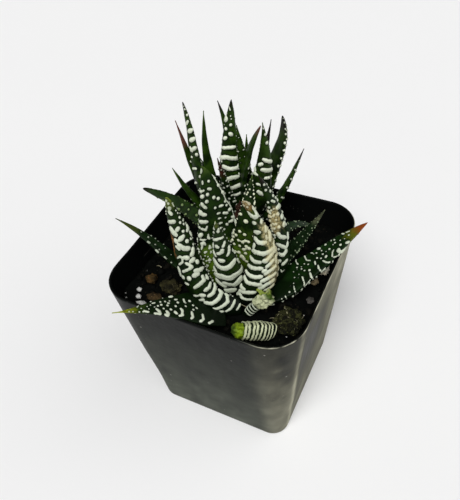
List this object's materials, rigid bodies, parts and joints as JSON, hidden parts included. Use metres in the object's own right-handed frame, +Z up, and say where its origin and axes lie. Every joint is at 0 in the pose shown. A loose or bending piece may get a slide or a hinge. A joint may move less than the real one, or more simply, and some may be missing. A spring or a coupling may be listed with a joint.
{
  "type": "potted haworthia",
  "caption": "Banded zebra haworthia with upright and arching keeled leaves, offsets and loose bark, in a small square tapered plastic nursery pot.",
  "frame": {"origin": "middle of the underside of the pot, on the surface that it stands on", "axes": "+Z up; the pot's four sides face along +X, -X, +Y and -Y, and the picture looks from the -Y and +X corner"},
  "size_m": [0.0765, 0.079, 0.113],
  "materials": {
    "pot_plastic": "satin",
    "soil": "matte",
    "stem": "matte",
    "leaf": "satin",
    "dry_leaf": "matte",
    "bark": "matte",
    "perlite": "matte",
    "stone": "matte",
    "moss": "matte"
  },
  "bodies": {
    "root": {"bark_brown": "bark", "bark_olive": "bark", "bark_orange": "bark", "leaf_back_banded": "leaf", "leaf_back_behind": "leaf", "leaf_back_brown_tip": "leaf", "leaf_back_crescent": "leaf", "leaf_back_dry": "dry_leaf", "leaf_back_heart": "leaf", "leaf_back_low_right": "leaf", "leaf_back_rear": "leaf", "leaf_back_rear_left": "leaf", "leaf_back_rear_right": "leaf", "leaf_back_red_tip": "leaf", "leaf_back_short_left": "leaf", "leaf_back_smooth": "leaf", "leaf_back_spike_mid": "leaf", "leaf_back_spike_right": "leaf", "leaf_back_striped_right": "leaf", "leaf_back_tall_left": "leaf", "leaf_back_thin_right": "leaf", "leaf_front_arched": "leaf", "leaf_front_big_left": "leaf", "leaf_front_blunt": "leaf", "leaf_front_centre": "leaf", "leaf_front_curled": "leaf", "leaf_front_dry_strip": "dry_leaf", "leaf_front_far_left": "leaf", "leaf_front_fat": "leaf", "leaf_front_inner_back": "leaf", "leaf_front_inner_left": "leaf", "leaf_front_over_left": "leaf", "leaf_front_over_right": "leaf", "leaf_front_shaded": "leaf", "moss_clump": "moss", "perlite_large": "perlite", "perlite_mid": "perlite", "perlite_small": "perlite", "pot": "pot_plastic", "pup_short": "leaf", "pup_torn": "leaf", "soil": "soil", "stem_back": "stem", "stem_front": "stem", "stone_cream": "stone", "stone_grey": "stone", "stone_tan": "stone"}
  },
  "joints": []
}
